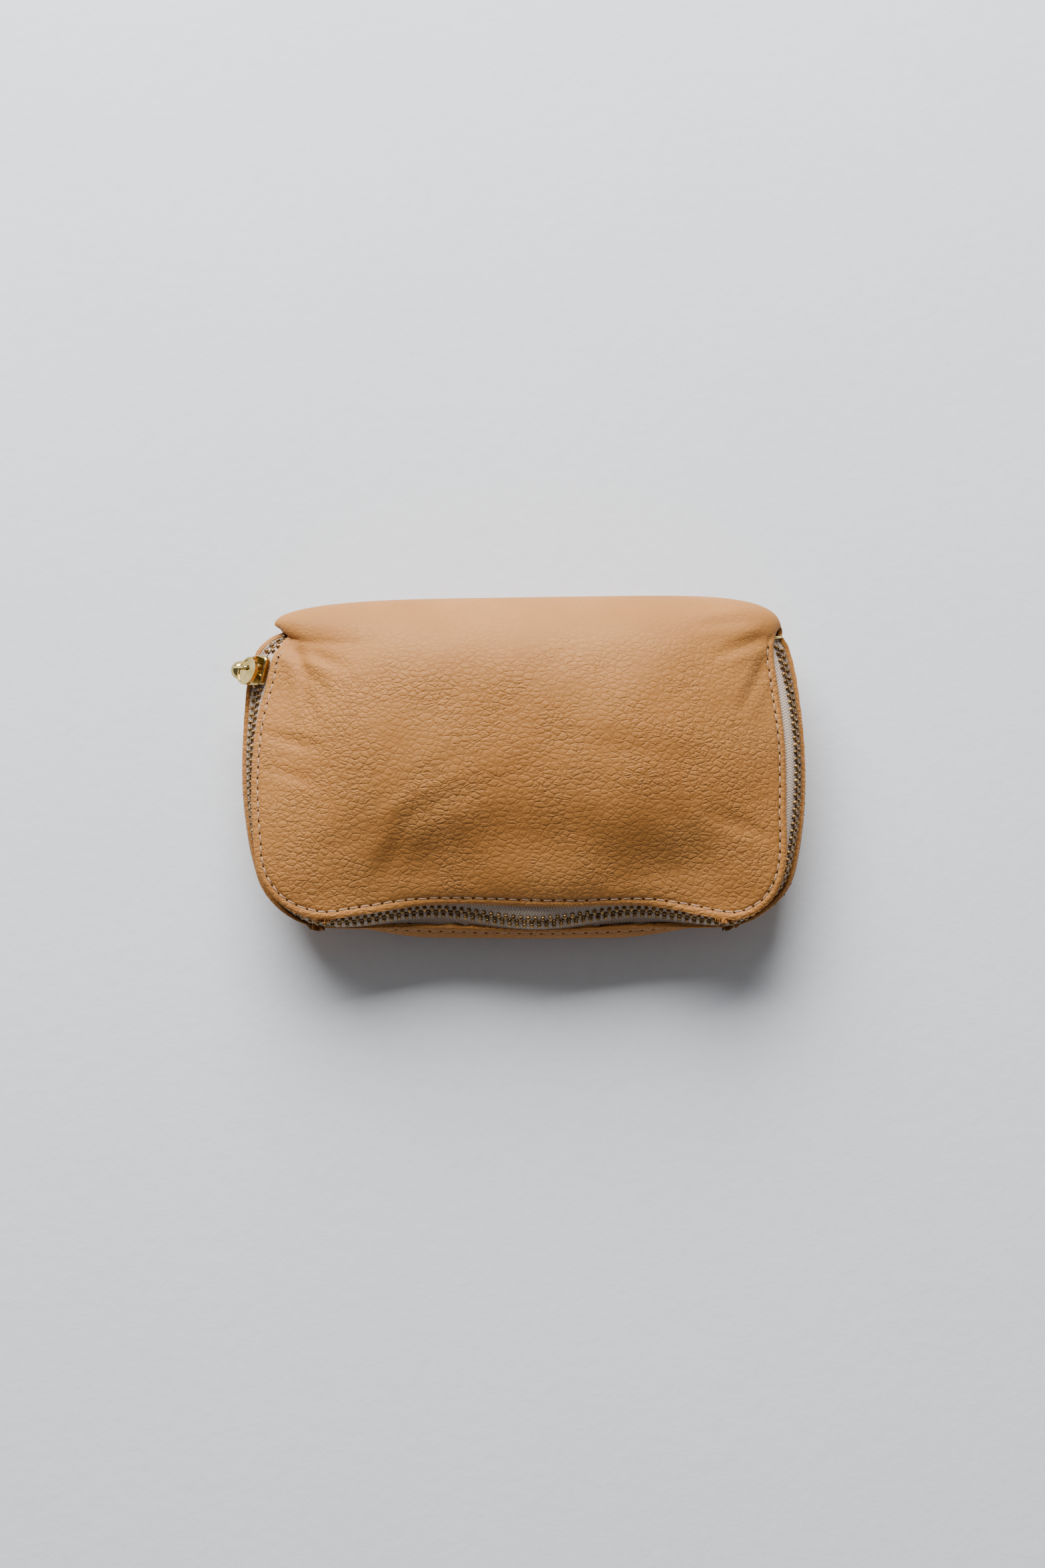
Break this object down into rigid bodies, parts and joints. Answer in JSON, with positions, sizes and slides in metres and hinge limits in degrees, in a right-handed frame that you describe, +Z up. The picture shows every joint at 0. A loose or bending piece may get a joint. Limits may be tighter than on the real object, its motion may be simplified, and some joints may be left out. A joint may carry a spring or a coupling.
{
  "type": "zippered pouch",
  "caption": "Soft leather pouch folded from one hide panel, with a metal zip round three sides, topstitched edges and a round zip tab with a ball pull.",
  "frame": {"origin": "centre of the whole object's box at its underside, on the surface it rests on", "axes": "+Z up, +Y towards the folded spine, -Y towards the front, +X to the right seen from the front"},
  "size_m": [0.1988, 0.1272, 0.0511],
  "materials": {
    "leather": "tan pebbled, semi-matt",
    "interlining": "non-woven",
    "lining": "twill lining",
    "zip_tape": "woven herringbone",
    "zip_teeth": "antique brass",
    "gold_metal": "polished pale gold plating",
    "thread": "waxed thread"
  },
  "bodies": {
    "base": {"base_leather": "leather", "base_interlining": "interlining", "base_lining": "lining", "base_zip_tape": "zip_tape", "base_zip_teeth": "zip_teeth", "base_top_stop": "gold_metal", "zip_bottom_stop": "gold_metal", "base_topstitch": "thread", "spine_leather": "leather", "spine_lining": "lining"},
    "lid": {"lid_leather": "leather", "lid_interlining": "interlining", "lid_lining": "lining", "lid_zip_tape": "zip_tape", "lid_zip_teeth": "zip_teeth", "lid_top_stop": "gold_metal", "lid_topstitch": "thread"},
    "slider": {"slider_body": "gold_metal", "slider_bail": "gold_metal"},
    "tab": {"pull_tab": "gold_metal"},
    "ball": {"pull_link": "gold_metal", "pull_ball": "gold_metal"}
  },
  "joints": [
    {"name": "lid_fold", "type": "hinge", "parent": "base", "child": "lid", "pos_m": [0, 0.051, 0.027], "axis": [-1, 0, 0], "range_deg": [0, 105], "deforming": ["spine_leather", "spine_lining"]},
    {"name": "slider_run", "type": "hinge", "parent": "base", "child": "slider", "pos_m": [0.05869, 0.005, 0.027], "axis": [0, 0, 1], "range_deg": [0, 20]},
    {"name": "tab_turn", "type": "hinge", "parent": "slider", "child": "tab", "pos_m": [-0.0896, 0.04045, 0.02944], "axis": [0.6908, -0.1508, 0.7071], "range_deg": [-90, 0]},
    {"name": "ball_swivel", "type": "hinge", "parent": "tab", "child": "ball", "pos_m": [-0.09208, 0.03741, 0.03121], "axis": [-0.6908, 0.1508, 0.7071], "range_deg": [-15, 15]}
  ]
}
